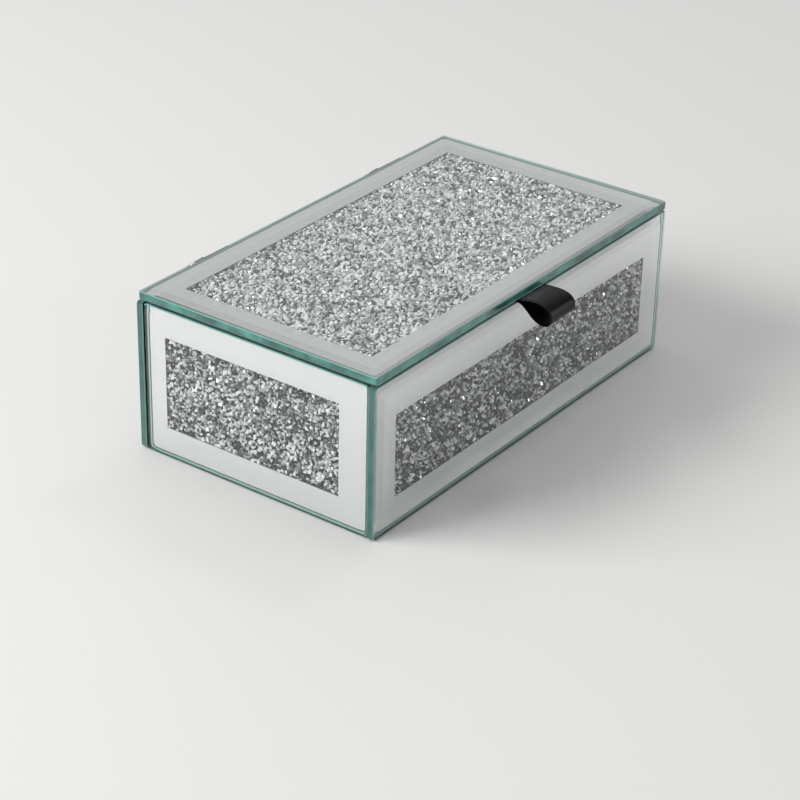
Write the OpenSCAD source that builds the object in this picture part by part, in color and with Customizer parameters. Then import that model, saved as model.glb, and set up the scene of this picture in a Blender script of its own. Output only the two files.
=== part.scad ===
// Vanity trinket box: a board carcass faced with bevelled mirror glass, crushed
// glass shown through a clear window in every pane, velvet inside, and a lid
// that swings on two cranked hinges hidden behind the rear pane.
// Millimetres. +Z is up, the ribbon side faces -Y, and the origin is the middle
// of the resting face.

/* [Box] */
// Length from left to right over the glass
box_l = 175; // [165:1:190]
// Depth from front to rear over the glass
box_d = 100; // [96:1:112]
// Height of the closed box
box_h = 60; // [56:1:70]

/* [Glass] */
// Thickness of every pane
glass_t = 3; // [2.6:0.1:3.2]
// Width of the ground bevel round each pane
bevel_w = 4.5; // [3:0.5:6]
// Depth that the bevel takes off the pane's edge
bevel_h = 0.3; // [0.2:0.1:0.8]
// Gap between the lid's glass and the panes below it
lid_gap = 1; // [1:0.1:1.4]
// How far the lid's glass stays inside the box at each end
lid_inset_end = 0.5; // [0.2:0.1:1]
// How far the lid's glass stays inside the box at the rear
lid_inset_rear = 0.8; // [0.5:0.1:1]

/* [Windows] */
// Mirror border at the left and right of the long windows
long_margin = 12.5; // [11:0.5:16]
// Mirror border above the long windows
long_margin_top = 14.5; // [13.5:0.5:18]
// Mirror border below every side window
margin_bottom = 10.5; // [8:0.5:14]
// Mirror border above the end windows
end_margin_top = 10.8; // [9:0.2:14]
// Mirror border at the rear of the end windows
end_margin_rear = 11.4; // [10:0.2:14]
// Mirror border at the front of the end windows
end_margin_front = 15.6; // [12:0.2:18]
// Mirror border at the front and rear of the lid's window
lid_margin = 11.2; // [11:0.1:14]

/* [Carcass] */
// Thickness of the wall boards
wall_t = 6; // [5:0.5:7]
// Thickness of the base board
base_t = 4; // [3:0.5:6]
// Depth of the crushed glass behind each window
bed_t = 3.2; // [2.4:0.2:3.4]
// Thickness of the lid's board
lid_board_t = 5.5; // [5:0.5:6]
// Thickness of the felt under the base
felt_t = 1; // [0.8:0.1:1.5]
// How far the felt stands below the glass
felt_proud = 0.5; // [0.3:0.1:0.7]

/* [Lining] */
// Thickness of the velvet-covered cards on the walls
lining_t = 1.5; // [1:0.1:2]
// Thickness of the cushioned base pad
pad_t = 3.2; // [2:0.2:5]
// Thickness of the velvet pad under the lid
lid_pad_t = 1.6; // [1:0.1:2]

/* [Hinges] */
// Distance from the middle of the box to the middle of each hinge
hinge_x = 50; // [30:1:60]
// Length of each hinge
hinge_l = 20; // [16:1:24]
// Radius of the hinge's barrel
barrel_r = 1.6; // [1.5:0.1:1.7]
// Radius of the hinge's pin
pin_r = 0.75; // [0.6:0.05:0.8]
// Thickness of the leaf's plate
leaf_t = 0.45; // [0.4:0.01:0.45]

/* [Ribbon] */
// Width of the ribbon
ribbon_w = 16; // [10:1:20]
// Thickness of one layer of ribbon
ribbon_t = 0.35; // [0.3:0.01:0.35]
// How far the ribbon sits to the right of the middle
ribbon_x = -1.4; // [-10:0.2:10]

/* [Hidden] */
$fn = 48;

half_l = box_l / 2;
half_d = box_d / 2;
lid_bottom = box_h - glass_t;          // underside of the lid's glass
pane_top = lid_bottom - lid_gap;       // top edge of the side panes
pane_bottom = felt_proud;
core_l = half_l - glass_t;             // the carcass behind the panes
core_d = half_d - glass_t;
board_bottom = lid_bottom - lid_board_t;
body_clear = 0.3;                      // between lid parts and box parts
wall_top = board_bottom - body_clear;
base_top = felt_t + base_t;
side_clear = 0.5;                      // lid board inside the panes' rim
joint_gap = 0.1;                       // fitting gap between glued pieces
pane_joint = 0.4;                      // adhesive line where two panes meet at a corner
bed_over = 0.6;                        // the bed runs on under the mirror border
bed_clear = 0.1;

// Windows: [low, high] along each direction
long_x = [-half_l + long_margin, half_l - long_margin];
long_z = [pane_bottom + margin_bottom, pane_top - long_margin_top];
end_y = [-half_d + end_margin_front, half_d - end_margin_rear];
end_z = [pane_bottom + margin_bottom, pane_top - end_margin_top];
lid_y = [-half_d + lid_margin, half_d - lid_margin];

cavity_l = core_l - wall_t;            // between the wall boards
cavity_d = core_d - wall_t;
lining_top = wall_top - 0.5;
felt_inset = 3;
lid_pad_clear = 1.5;                   // lid pad inside the wall linings

// Hinges
axis_y = half_d + barrel_r + 0.2;
axis_z = lid_bottom - barrel_r;         // the barrel stands no higher than the lid's leaf
leaf_in = 5.8;                         // how far the lid leaf lies on the board
leaf_drop = 11.5;                      // how far the box leaf hangs down the wall
leaf_gap = barrel_r + 0.2;             // leaf plates stop short of the other knuckles
knuckle_gap = 0.2;
mid_half = hinge_l / 6;                // half the length of the middle knuckle
rear_leaf_y = core_d - leaf_t;
pin_clear = 0.05;
lug_reach = 3;                         // stop lug, from the hinge's axis
lug_t = 1;
lug_w = 5;
stop_face = -0.95;                     // where the lug comes to rest, from the axis
stop_top = -barrel_r - 0.25;
stop_bottom = -3.3;

// Screws
screw_r = 0.8;
screw_head_r = 1.4;
screw_len = 4.2;
screw_x = 6;                           // from the middle of the hinge
lid_screw_y = core_d - 3.4;
box_screw_z = wall_top - 3.4;

// Ribbon: a loop that leaves the gap under the lid's glass at the front.
// Points are [distance out from the front face, height above the exit].
layer_gap = 0.1;                       // glue between the two layers of the tail
tail_t = 2 * ribbon_t + layer_gap;
exit_z = lid_bottom - tail_t / 2;
tail_in = 9;                           // the tails reach this far behind the front face
layer_mid = (ribbon_t + layer_gap) / 2;
loop_top = [[0, layer_mid], [5.5, 1.9], [13.8, 2.6], [14, -2.6]];
loop_nose = [[14, -2.6], [14.1, -6.2], [9.6, -6.4], [6.2, -3.9]];
loop_under = [[6.2, -3.9], [3.9, -2.2], [2.2, -layer_mid], [0, -layer_mid]];

function bezier(c, t) =
    c[0] * pow(1 - t, 3) + 3 * c[1] * t * pow(1 - t, 2) + 3 * c[2] * t * t * (1 - t) + c[3] * pow(t, 3);
function curve(c, steps) = [for (i = [0 : steps - 1]) bezier(c, i / steps)];
function route() = concat(curve(loop_top, 12), curve(loop_nose, 10), curve(loop_under, 6), [loop_under[3]]);
function unit(v) = v / norm(v);
function side(p, i) =
    let (a = p[max(i - 1, 0)], b = p[min(i + 1, len(p) - 1)], d = unit(b - a)) [-d[1], d[0]];
function beside(p, t) = [for (i = [0 : len(p) - 1]) p[i] + side(p, i) * t];

// A block between two opposite corners
module block(low, high) translate(low) cube(high - low);

// A pane lying on its back, centred, with the bevel on its upper face
module pane(l, h) {
    slope = atan(bevel_h / bevel_w);
    reach = max(l, h) + 20;
    difference() {
        translate([-l / 2, -h / 2, 0]) cube([l, h, glass_t]);
        for (s = [[0, l], [90, h], [180, l], [270, h]])
            rotate([0, 0, s[0]]) translate([s[1] / 2, 0, glass_t - bevel_h])
                rotate([0, slope, 0]) translate([-bevel_w * 2, -reach / 2, 0])
                    cube([bevel_w * 4, reach, bevel_h * 8]);
    }
}

module long_pane() pane(box_l, pane_top - pane_bottom);
module end_pane() pane(2 * core_d - 2 * pane_joint, pane_top - pane_bottom);
pane_mid = (pane_top + pane_bottom) / 2;

module front_glass() color("paleturquoise", 0.5)
    translate([0, -core_d, pane_mid]) rotate([90, 0, 0]) long_pane();
module rear_glass() color("paleturquoise", 0.5)
    translate([0, core_d, pane_mid]) rotate([90, 0, 180]) long_pane();
module left_glass() color("paleturquoise", 0.5)
    translate([-core_l, 0, pane_mid]) rotate([90, 0, -90]) end_pane();
module right_glass() color("paleturquoise", 0.5)
    translate([core_l, 0, pane_mid]) rotate([90, 0, 90]) end_pane();
module lid_glass() color("paleturquoise", 0.5)
    translate([0, -lid_inset_rear / 2, lid_bottom]) pane(box_l - 2 * lid_inset_end, box_d - lid_inset_rear);

// Space behind a long window; grow makes the pocket that holds the bed
module long_bed(side_y, grow) {
    low = [long_x[0] - bed_over - grow, -bed_t - grow, long_z[0] - bed_over - grow];
    high = [long_x[1] + bed_over + grow, grow, long_z[1] + bed_over + grow];
    mirror([0, side_y < 0 ? 1 : 0, 0]) translate([0, core_d, 0]) block(low, high);
}

// Space behind an end window
module end_bed(side_x, grow) {
    low = [-bed_t - grow, end_y[0] - bed_over - grow, end_z[0] - bed_over - grow];
    high = [grow, end_y[1] + bed_over + grow, end_z[1] + bed_over + grow];
    mirror([side_x < 0 ? 1 : 0, 0, 0]) translate([core_l, 0, 0]) block(low, high);
}

// Space under the lid's window
module lid_bed(grow) block(
    [long_x[0] - bed_over - grow, lid_y[0] - bed_over - grow, lid_bottom - bed_t - grow],
    [long_x[1] + bed_over + grow, lid_y[1] + bed_over + grow, lid_bottom + grow]);

// The crushed glass fills its pocket up to the back of the pane
module front_crystals() color("silver") long_bed(-1, 0);
module rear_crystals() color("silver") long_bed(1, 0);
module left_crystals() color("silver") end_bed(-1, 0);
module right_crystals() color("silver") end_bed(1, 0);
module lid_crystals() color("silver") lid_bed(0);

module base_felt() color("dimgray")
    block([felt_inset - core_l, felt_inset - core_d, 0], [core_l - felt_inset, core_d - felt_inset, felt_t]);
module base_board() color("burlywood") block([-core_l, -core_d, felt_t], [core_l, core_d, base_top]);

module long_wall() block([-core_l, cavity_d, base_top], [core_l, core_d, wall_top]);

module front_wall() color("burlywood") difference() {
    mirror([0, 1, 0]) long_wall();
    long_bed(-1, bed_clear);
}

module rear_wall() color("burlywood") difference() {
    long_wall();
    long_bed(1, bed_clear);
    for (s = [-1, 1]) {
        translate([s * hinge_x, 0, 0]) block(
            [-hinge_l / 2 - joint_gap, rear_leaf_y, pane_top - leaf_drop - joint_gap],
            [hinge_l / 2 + joint_gap, core_d + 1, wall_top + 1]);
        for (x = [-screw_x, screw_x]) translate([s * hinge_x + x, core_d, box_screw_z])
            rotate([90, 0, 0]) cylinder(r = screw_r, h = screw_len + joint_gap);
    }
}

module end_wall() difference() {
    block([cavity_l, -cavity_d, base_top], [core_l, cavity_d, wall_top]);
    end_bed(1, bed_clear);
}
module left_wall() color("burlywood") mirror([1, 0, 0]) end_wall();
module right_wall() color("burlywood") end_wall();

// The lid's board: a tray that holds the crushed glass and drops inside the panes
module lid_board() color("burlywood") difference() {
    block([side_clear - core_l, side_clear - core_d, board_bottom],
          [core_l - side_clear, rear_leaf_y - body_clear, lid_bottom]);
    lid_bed(bed_clear);
    block([ribbon_x - ribbon_w / 2 - joint_gap, -core_d, lid_bottom - tail_t - joint_gap],
          [ribbon_x + ribbon_w / 2 + joint_gap, -half_d + tail_in + joint_gap, lid_bottom + 1]);
    for (s = [-1, 1]) {
        translate([s * hinge_x, 0, 0]) block(
            [-hinge_l / 2 - joint_gap, core_d - leaf_in - joint_gap, lid_bottom - leaf_t],
            [hinge_l / 2 + joint_gap, half_d, lid_bottom + 1]);
        for (x = [-screw_x, screw_x]) translate([s * hinge_x + x, lid_screw_y, lid_bottom - screw_len - joint_gap])
            cylinder(r = screw_r, h = screw_len);
    }
}

// Velvet-covered cards and pads
module long_lining() block(
    [joint_gap - cavity_l, cavity_d - lining_t, base_top + joint_gap],
    [cavity_l - joint_gap, cavity_d - joint_gap, lining_top]);
module end_lining() block(
    [cavity_l - lining_t, lining_t + joint_gap - cavity_d, base_top + joint_gap],
    [cavity_l - joint_gap, cavity_d - lining_t - joint_gap, lining_top]);
module front_lining() color("black") mirror([0, 1, 0]) long_lining();
module rear_lining() color("black") long_lining();
module left_lining() color("black") mirror([1, 0, 0]) end_lining();
module right_lining() color("black") end_lining();
module base_pad() color("black") block(
    [lining_t + 2 * joint_gap - cavity_l, lining_t + 2 * joint_gap - cavity_d, base_top],
    [cavity_l - lining_t - 2 * joint_gap, cavity_d - lining_t - 2 * joint_gap, base_top + pad_t]);
module lid_lining() color("black") block(
    [lining_t + lid_pad_clear - cavity_l, lining_t + lid_pad_clear - cavity_d, board_bottom - lid_pad_t],
    [cavity_l - lining_t - lid_pad_clear, cavity_d - lining_t - lid_pad_clear, board_bottom]);

// A cylinder along X round the hinge's axis
module axle(x0, x1, r) translate([x0, axis_y, axis_z]) rotate([0, 90, 0]) cylinder(r = r, h = x1 - x0);

// A countersunk screw pointing down, its head's face at the origin
module screw_shape(head_h) {
    translate([0, 0, -head_h]) cylinder(r1 = screw_r, r2 = screw_head_r, h = head_h);
    translate([0, 0, -screw_len]) cylinder(r = screw_r, h = screw_len - head_h);
}

module box_screw_at(x) translate([x, core_d, box_screw_z]) rotate([-90, 0, 0]) children();
module lid_screw_at(x) translate([x, lid_screw_y, lid_bottom]) children();

// The cranked leaf: down the rear wall, over the pane and out to the barrel
module hinge_box_leaf() color("gainsboro") difference() {
    union() {
        block([-hinge_l / 2, rear_leaf_y, pane_top - leaf_drop], [hinge_l / 2, core_d, pane_top + leaf_t]);
        block([-hinge_l / 2, rear_leaf_y, pane_top], [hinge_l / 2, axis_y - leaf_gap, pane_top + leaf_t]);
        for (m = [0, 1]) mirror([m, 0, 0]) {
            axle(mid_half + knuckle_gap, hinge_l / 2, barrel_r);
            block([mid_half + knuckle_gap, rear_leaf_y, pane_top], [hinge_l / 2, axis_y, pane_top + leaf_t]);
            block([mid_half + knuckle_gap, axis_y - barrel_r, axis_z + stop_bottom],
                  [hinge_l / 2, axis_y + stop_face, axis_z]);
        }
        block([-hinge_l / 2, axis_y - barrel_r, axis_z + stop_bottom],
              [hinge_l / 2, axis_y + stop_face, axis_z + stop_top]);
    }
    axle(-hinge_l, hinge_l, pin_r);
    for (x = [-screw_x, screw_x]) box_screw_at(x) screw_shape(leaf_t);
}

// The flat leaf: between the lid's board and glass, out to the middle knuckle
module hinge_lid_leaf() color("gainsboro") difference() {
    union() {
        block([-hinge_l / 2, core_d - leaf_in, lid_bottom - leaf_t], [hinge_l / 2, axis_y - leaf_gap, lid_bottom]);
        block([-mid_half, core_d, lid_bottom - leaf_t], [mid_half, axis_y, lid_bottom]);
        axle(-mid_half, mid_half, barrel_r);
        block([-lug_w / 2, axis_y + barrel_r / 2, axis_z - 0.6],
              [lug_w / 2, axis_y + lug_reach, axis_z - 0.6 + lug_t]);
    }
    axle(-hinge_l, hinge_l, pin_r + pin_clear);
    for (x = [-screw_x, screw_x]) lid_screw_at(x) screw_shape(leaf_t);
}

module left_hinge_box_leaf() translate([-hinge_x, 0, 0]) hinge_box_leaf();
module right_hinge_box_leaf() translate([hinge_x, 0, 0]) hinge_box_leaf();
module left_hinge_lid_leaf() translate([-hinge_x, 0, 0]) hinge_lid_leaf();
module right_hinge_lid_leaf() translate([hinge_x, 0, 0]) hinge_lid_leaf();

module hinge_pin() color("lightgray") axle(-hinge_l / 2, hinge_l / 2, pin_r);
module left_hinge_pin() translate([-hinge_x, 0, 0]) hinge_pin();
module right_hinge_pin() translate([hinge_x, 0, 0]) hinge_pin();

module hinge_box_screws() color("lightgray")
    for (s = [-1, 1], x = [-screw_x, screw_x]) box_screw_at(s * hinge_x + x) screw_shape(leaf_t);
module hinge_lid_screws() color("lightgray")
    for (s = [-1, 1], x = [-screw_x, screw_x]) lid_screw_at(s * hinge_x + x) screw_shape(leaf_t);

// The pull: tails glued in the lid board's rebate, loop hanging in front
module ribbon_pull() color("black")
    translate([ribbon_x + ribbon_w / 2, -half_d, exit_z]) rotate([90, 0, -90]) linear_extrude(height = ribbon_w)
        difference() {
            polygon(concat([[-tail_in, tail_t / 2]], beside(route(), ribbon_t / 2), [[-tail_in, -tail_t / 2]]));
            polygon(beside(route(), -ribbon_t / 2));
        }

base_felt();
base_board();
front_wall();
rear_wall();
left_wall();
right_wall();
front_glass();
rear_glass();
left_glass();
right_glass();
front_crystals();
rear_crystals();
left_crystals();
right_crystals();
base_pad();
front_lining();
rear_lining();
left_lining();
right_lining();
left_hinge_box_leaf();
right_hinge_box_leaf();
left_hinge_pin();
right_hinge_pin();
hinge_box_screws();
lid_glass();
lid_crystals();
lid_board();
lid_lining();
left_hinge_lid_leaf();
right_hinge_lid_leaf();
hinge_lid_screws();
ribbon_pull();
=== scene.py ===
import math

import bmesh
import bpy
from bpy.props import FloatProperty, FloatVectorProperty, IntProperty, PointerProperty
from mathutils import Matrix, Vector


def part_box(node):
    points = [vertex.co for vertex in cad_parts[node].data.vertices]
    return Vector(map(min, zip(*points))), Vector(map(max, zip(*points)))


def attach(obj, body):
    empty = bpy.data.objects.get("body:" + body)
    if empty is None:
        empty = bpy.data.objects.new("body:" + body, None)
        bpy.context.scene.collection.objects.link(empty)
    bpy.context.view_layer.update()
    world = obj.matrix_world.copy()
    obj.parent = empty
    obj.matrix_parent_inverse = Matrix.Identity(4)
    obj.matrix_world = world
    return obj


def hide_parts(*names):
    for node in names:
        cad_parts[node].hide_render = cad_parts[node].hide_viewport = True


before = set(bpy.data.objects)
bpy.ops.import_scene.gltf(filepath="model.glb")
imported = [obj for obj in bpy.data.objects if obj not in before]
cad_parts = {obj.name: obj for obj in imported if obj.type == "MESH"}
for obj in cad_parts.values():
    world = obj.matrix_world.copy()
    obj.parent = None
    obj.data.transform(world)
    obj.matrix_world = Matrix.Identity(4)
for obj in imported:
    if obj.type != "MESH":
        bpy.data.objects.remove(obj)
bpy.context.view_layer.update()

bl_info = {
    "name": "Mirrored trinket box",
    "version": (1, 0, 0),
    "blender": (4, 5, 0),
    "location": "3D View > Sidebar > Trinket Box",
    "description": "Builds the glass, crushed glass, lining, ribbon, hinges and stage round the packed box",
    "category": "Add Mesh",
}

MM = 0.001

# Each side's own directions: u along the pane, v up the pane, w out of the box.
SIDES = {
    "front": ("box", Vector((1, 0, 0)), Vector((0, 0, 1))),
    "rear": ("box", Vector((-1, 0, 0)), Vector((0, 0, 1))),
    "left": ("box", Vector((0, -1, 0)), Vector((0, 0, 1))),
    "right": ("box", Vector((0, 1, 0)), Vector((0, 0, 1))),
    "lid": ("lid", Vector((1, 0, 0)), Vector((0, 1, 0))),
}
# The room's light as (sine of the height above the horizon, brightness), and the direction of its paler wall.
ROOM_HEIGHTS = ((0.0, 0.16), (0.3, 0.22), (0.48, 0.31), (0.68, 0.29), (0.84, 0.42), (0.97, 0.8))
PALE_WALL = (0.734, 0.531, 0.423)
# Small lights for the chips: (place, size, share of the full power).
GLINTS = (
    ((0.8, 0.0, 1.15), 0.22, 1.0),
    ((0.1, 0.85, 1.15), 0.12, 0.4),
    ((0.95, -0.85, 0.2), 0.14, 1.2),
    ((-1.1, -0.3, 0.85), 0.12, 0.4),
)
# The main soft light's place, size and colour.
KEY_PLACE, KEY_SIZE, KEY_COLOUR = (-1.1, 0.95, 0.95), (1.1, 0.8), (1, 0.995, 0.985)
# The signs of a rectangle's corners, anticlockwise.
CORNERS = ((-1, -1), (1, -1), (1, 1), (-1, 1))
BED_OVERRUN = 0.6 * MM      # the crushed glass runs on this far under the mirror border
SILVER_GAP = 0.05 * MM      # room behind the glass for its coating
SILVER_THICKNESS = 0.03 * MM
EDGE_CLARITY = 0.8          # share of what is behind an edge that shows from within the glass
CHIP_SHADES = 6             # tints of crushed glass, the brightest first
SHADE_LABELS = [f"Shade {number + 1}" for number in range(CHIP_SHADES)]
SHARD_FORMS = 7             # shapes of chip that the bed repeats
# Each layer of chips: (share of the pocket's depth, spacing against the top layer's).
CHIP_LAYERS = ((0.2, 1.0), (0.44, 1.12), (0.7, 1.3))
CHIP_TILT = 0.75            # radians that a chip may lean each way
CHIP_TURN = 6.283           # radians that it may be turned
SMALLEST_CHIP = 0.62        # against a large chip's length
CHIP_MARGIN = 0.35          # of a chip's length, taken off the length and width of its layer
CHIP_DENSITY = 4e6          # more points a square metre than the spacing leaves room for
POCKET_REACH = 0.499        # of the pocket's length and width, from its middle
POCKET_BOTTOM = 0.97        # of the pocket's depth
POCKET_TOP = 0.02 * MM      # from the pane's back face
PAD_RIM = 0.25              # height of a pad's outer edge against its height further in
# Numbers of a Mix node's colour sockets, which share their names with its number and vector sockets.
COLOUR_A, COLOUR_B, COLOUR_RESULT = 6, 7, 2


# ---------------------------------------------------------------- settings

def length_prop(name, text, default_mm):
    """A length setting, its default given in millimetres."""
    return FloatProperty(
        name=name, description=text, default=default_mm * MM, subtype="DISTANCE", unit="LENGTH", precision=5)


def colour_prop(name, text, default):
    return FloatVectorProperty(
        name=name, description=text, default=default, subtype="COLOR", size=3, min=0, max=1)


def angle_prop(name, text, degrees):
    """An angle setting, its default given in degrees."""
    return FloatProperty(name=name, description=text, default=math.radians(degrees), unit="ROTATION")


def share_prop(name, text, default):
    """A setting for the share of bright chips."""
    return FloatProperty(name=name, description=text, default=default, min=0.3, max=6)


class GlassSettings(bpy.types.PropertyGroup):
    bevel_width: length_prop("Bevel Width", "Width of the ground bevel round each pane", 4.5)
    bevel_depth: length_prop("Bevel Depth", "Thickness that the bevel takes off at the pane's edge", 0.3)
    arris: length_prop("Arris", "Width of the small ground chamfer on the edges", 0.32)
    corner_radius: length_prop("Corner Radius", "Radius of the pane's corners", 1.1)
    clear_tint: colour_prop("Clear Tint", "Colour of the glass seen straight through", (0.982, 0.991, 0.987))
    # The lid's edges and the side panes' edges take two tints of one green, the side panes' darker: painted
    # light and shade.
    edge_tint: colour_prop("Edge Tint", "Green of the polished edge", (0.1, 0.36, 0.315))
    side_edge_painted_shade: colour_prop("Side Edge Tint", "The same for the side panes", (0.05, 0.155, 0.14))
    edge_dark: colour_prop("Edge Shade", "Darker green in the edge's streaks", (0.03, 0.115, 0.1))
    edge_inside: colour_prop("Inner Edge", "Tint of what shows through from within", (0.78, 0.9, 0.87))
    arris_tint: colour_prop("Arris Tint", "Pale green of the ground chamfer", (0.3, 0.5, 0.455))
    silver_tint: colour_prop("Silver Tint", "Colour of the coating behind the border", (0.95, 0.958, 0.962))


class CrystalSettings(bpy.types.PropertyGroup):
    chip_size: length_prop("Chip Size", "Length of a large chip", 2.5)
    spacing: length_prop("Spacing", "Least distance between chips in the top layer", 1.32)
    # These three shares paint light and shade into the crushed glass. Each face of the box gets its own mix
    # of bright and dark chips, for the way the light falls on it: brightest on the lid, darkest on the front
    # and rear.
    brightness: share_prop("Brightness", "Above 1 more chips are bright, below 1 more are dark", 4.5)
    side_painted_light_bias: share_prop("Side Brightness", "The same for the front and rear panes", 1.15)
    end_painted_light_bias: share_prop("End Brightness", "The same for the end panes", 2.0)
    seed: IntProperty(name="Seed", description="Seed of the scatter", default=7, min=0)
    bright: colour_prop("Bright Chips", "Colour of the best silvered faces", (0.95, 0.96, 0.97))
    silver: colour_prop("Silver Chips", "Colour of the common silvered faces", (0.8, 0.82, 0.83))
    clear: colour_prop("Clear Chips", "Colour of the unsilvered chips", (0.78, 0.79, 0.78))
    blue: colour_prop("Blue Chips", "Colour of the faces with a blue-grey back", (0.5, 0.54, 0.57))
    grey: colour_prop("Grey Chips", "Colour of the faces seen from their painted back", (0.2, 0.215, 0.23))
    dark: colour_prop("Dark Chips", "Colour of the chips in shade", (0.03, 0.033, 0.036))


class VelvetSettings(bpy.types.PropertyGroup):
    pile: colour_prop("Pile", "Colour of the velvet", (0.011, 0.011, 0.013))
    pile_light: colour_prop("Brushed Pile", "Colour where the pile is brushed over", (0.03, 0.03, 0.035))
    card_crown: length_prop("Card Crown", "How far the padding of a wall card swells", 0.45)
    pad_crown: length_prop("Pad Crown", "How far the base cushion swells", 1.3)
    pull_in: length_prop("Pull In", "How far a pad's sides draw in between its corners", 0.5)
    felt: colour_prop("Felt", "Colour of the felt under the base", (0.028, 0.028, 0.03))


class RibbonSettings(bpy.types.PropertyGroup):
    tint: colour_prop("Satin", "Colour of the ribbon", (0.004, 0.004, 0.005))
    thread: length_prop("Thread", "Distance between the satin's cross threads", 0.22)
    selvedge: length_prop("Selvedge", "Width of the woven edge", 0.7)


class MetalSettings(bpy.types.PropertyGroup):
    nickel: colour_prop("Nickel", "Colour of the hinge's plating", (0.62, 0.6, 0.56))
    steel: colour_prop("Steel", "Colour of the screws", (0.5, 0.5, 0.51))
    rounding: length_prop("Rounding", "Radius worn on the metal's edges", 0.09)


class BoardSettings(bpy.types.PropertyGroup):
    lacquer: colour_prop("Lacquer", "Silver paint on the fibreboard", (0.42, 0.425, 0.43))
    fibre: colour_prop("Fibreboard", "Brown of the board where the paint is thin", (0.19, 0.11, 0.055))
    rounding: length_prop("Rounding", "Radius on the board's edges", 0.25)


class StageSettings(bpy.types.PropertyGroup):
    floor: colour_prop("Floor", "Colour of the pale floor", (0.86, 0.86, 0.85))
    azimuth: angle_prop("Azimuth", "Camera's bearing, 0 looks along +Y", -54.17)
    elevation: angle_prop("Elevation", "Camera's height as an angle", 28.68)
    roll: angle_prop("Roll", "Camera's turn about its own axis", 1.32)
    distance: length_prop("Distance", "Camera to its aim point", 857.0)
    aim: FloatVectorProperty(
        name="Aim", description="Point in the middle of the picture", default=(-0.0019, 0.0026, -0.0021),
        subtype="TRANSLATION", unit="LENGTH")
    lens: FloatProperty(
        name="Lens", description="Focal length on a 36 mm sensor", default=107.56, min=10,
        subtype="DISTANCE_CAMERA")
    key_power: FloatProperty(
        name="Key", description="Power of the main soft light", default=25.5, unit="POWER")
    glint_power: FloatProperty(
        name="Glint", description="Full power of the small lights that pick out the chips", default=1.1,
        unit="POWER")


SETTINGS = {
    "trinket_glass": GlassSettings,
    "trinket_crystals": CrystalSettings,
    "trinket_velvet": VelvetSettings,
    "trinket_ribbon": RibbonSettings,
    "trinket_metal": MetalSettings,
    "trinket_board": BoardSettings,
    "trinket_stage": StageSettings,
}


# ---------------------------------------------------------------- mesh helpers

def new_object(name, data):
    """An object in the scene, for a mesh, a light or a camera."""
    made = bpy.data.objects.new(name, data)
    bpy.context.scene.collection.objects.link(made)
    return made


def add_piece(name, mesh, body, node):
    """Shows a mesh as a piece that rides on a body, and stands for a CAD node unless node is None."""
    piece = new_object(name, mesh)
    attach(piece, body)
    if node:
        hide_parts(node)
    return piece


def mesh_from(name, points, faces, materials, slots=()):
    """A mesh from points and faces; slots gives each face the number of its material."""
    mesh = bpy.data.meshes.new(name)
    mesh.from_pydata([tuple(p) for p in points], [], faces)
    for material in materials:
        mesh.materials.append(material)
    for face, slot in zip(mesh.polygons, slots):
        face.material_index = slot
    mesh.validate()
    return mesh


def face_frame(node, u, v):
    """Matrix from u, v and their normal w to the shared frame, from the middle of the node's back face.

    Also gives the node's half sizes along u and v and its thickness along w.
    """
    w = u.cross(v)
    low, high = (Vector(corner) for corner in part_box(node))
    size, middle = high - low, (low + high) / 2
    half_u, half_v, thickness = abs(size.dot(u)) / 2, abs(size.dot(v)) / 2, abs(size.dot(w))
    matrix = Matrix.Translation(middle - w * thickness / 2) @ Matrix((u, v, w)).transposed().to_4x4()
    return matrix, half_u, half_v, thickness


def smooth(mesh, sharp_degrees):
    """Smooth shading, except over edges sharper than an angle."""
    for face in mesh.polygons:
        face.use_smooth = True
    mesh.set_sharp_from_angle(angle=math.radians(sharp_degrees))


def side_frame(side, node):
    """The face_frame of a node on one side of the box."""
    _, u, v = SIDES[side]
    return face_frame(node, u, v)


def rounded_ring(half_u, half_v, radius, height, steps=4):
    """Points of a rounded rectangle, anticlockwise seen from +w."""
    ring = []
    for corner, (su, sv) in enumerate(((1, -1), (1, 1), (-1, 1), (-1, -1))):
        for i in range(steps + 1):
            angle = math.radians(-90 + 90 * corner + 90 * i / steps)
            ring.append(Vector((su * (half_u - radius) + radius * math.cos(angle),
                                sv * (half_v - radius) + radius * math.sin(angle), height)))
    return ring


def loft(rings, slots):
    """Faces between closed rings and over the first and last; slots has a number for each band and cap."""
    count = len(rings[0])
    faces, numbers = [list(range(count))[::-1]], [slots[0]]
    for level in range(len(rings) - 1):
        for i in range(count):
            j = (i + 1) % count
            low, high = level * count, (level + 1) * count
            faces.append([low + i, low + j, high + j, high + i])
            numbers.append(slots[level + 1])
    faces.append([(len(rings) - 1) * count + i for i in range(count)])
    numbers.append(slots[-1])
    return [p for ring in rings for p in ring], faces, numbers


def applied_mesh(name, mesh, kind, inputs=None, **settings):
    """The mesh that a modifier makes of another; inputs go to a Geometry Nodes tree by their labels."""
    holder = new_object(name, mesh)
    modifier = holder.modifiers.new(kind, kind)
    for key, value in settings.items():
        setattr(modifier, key, value)
    if inputs:
        for item in modifier.node_group.interface.items_tree:
            if item.in_out == "INPUT":
                modifier[item.identifier] = inputs[item.name]
        holder.update_tag()
    evaluated = holder.evaluated_get(bpy.context.evaluated_depsgraph_get())
    finished = bpy.data.meshes.new_from_object(evaluated)
    bpy.data.objects.remove(holder)
    finished.name = name
    if not finished.polygons:
        raise RuntimeError(f"{name}: its modifier made no faces")
    return finished


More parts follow.
